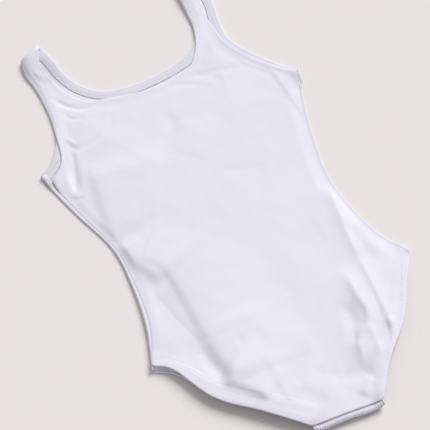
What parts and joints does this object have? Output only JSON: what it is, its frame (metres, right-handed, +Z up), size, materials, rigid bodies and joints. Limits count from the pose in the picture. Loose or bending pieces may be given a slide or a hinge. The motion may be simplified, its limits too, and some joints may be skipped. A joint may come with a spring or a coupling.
{
  "type": "tank leotard",
  "caption": "Child's sleeveless tank leotard of white stretch cloth with a scoop neck and turned elastic hems, lying flat with its front panel up.",
  "frame": {"origin": "on the surface the garment lies on, under the middle of its bounding box", "axes": "+Y from the crotch towards the straps, +X to the right of the garment as it lies front up, +Z up"},
  "size_m": [0.267, 0.4872, 0.0105],
  "materials": {
    "cloth": "matte knit stretch cloth",
    "hem": "inner side of the knit, turned over elastic and stitched"
  },
  "bodies": {
    "root": {"back_panel": "cloth", "front_panel": "cloth", "crotch_gusset": "cloth", "hem_back_neck": "hem", "hem_front_neck": "hem", "hem_back_armhole_left": "hem", "hem_front_armhole_left": "hem", "hem_back_armhole_right": "hem", "hem_front_armhole_right": "hem", "hem_back_leg_left": "hem", "hem_front_leg_left": "hem", "hem_back_leg_right": "hem", "hem_front_leg_right": "hem"}
  },
  "joints": []
}
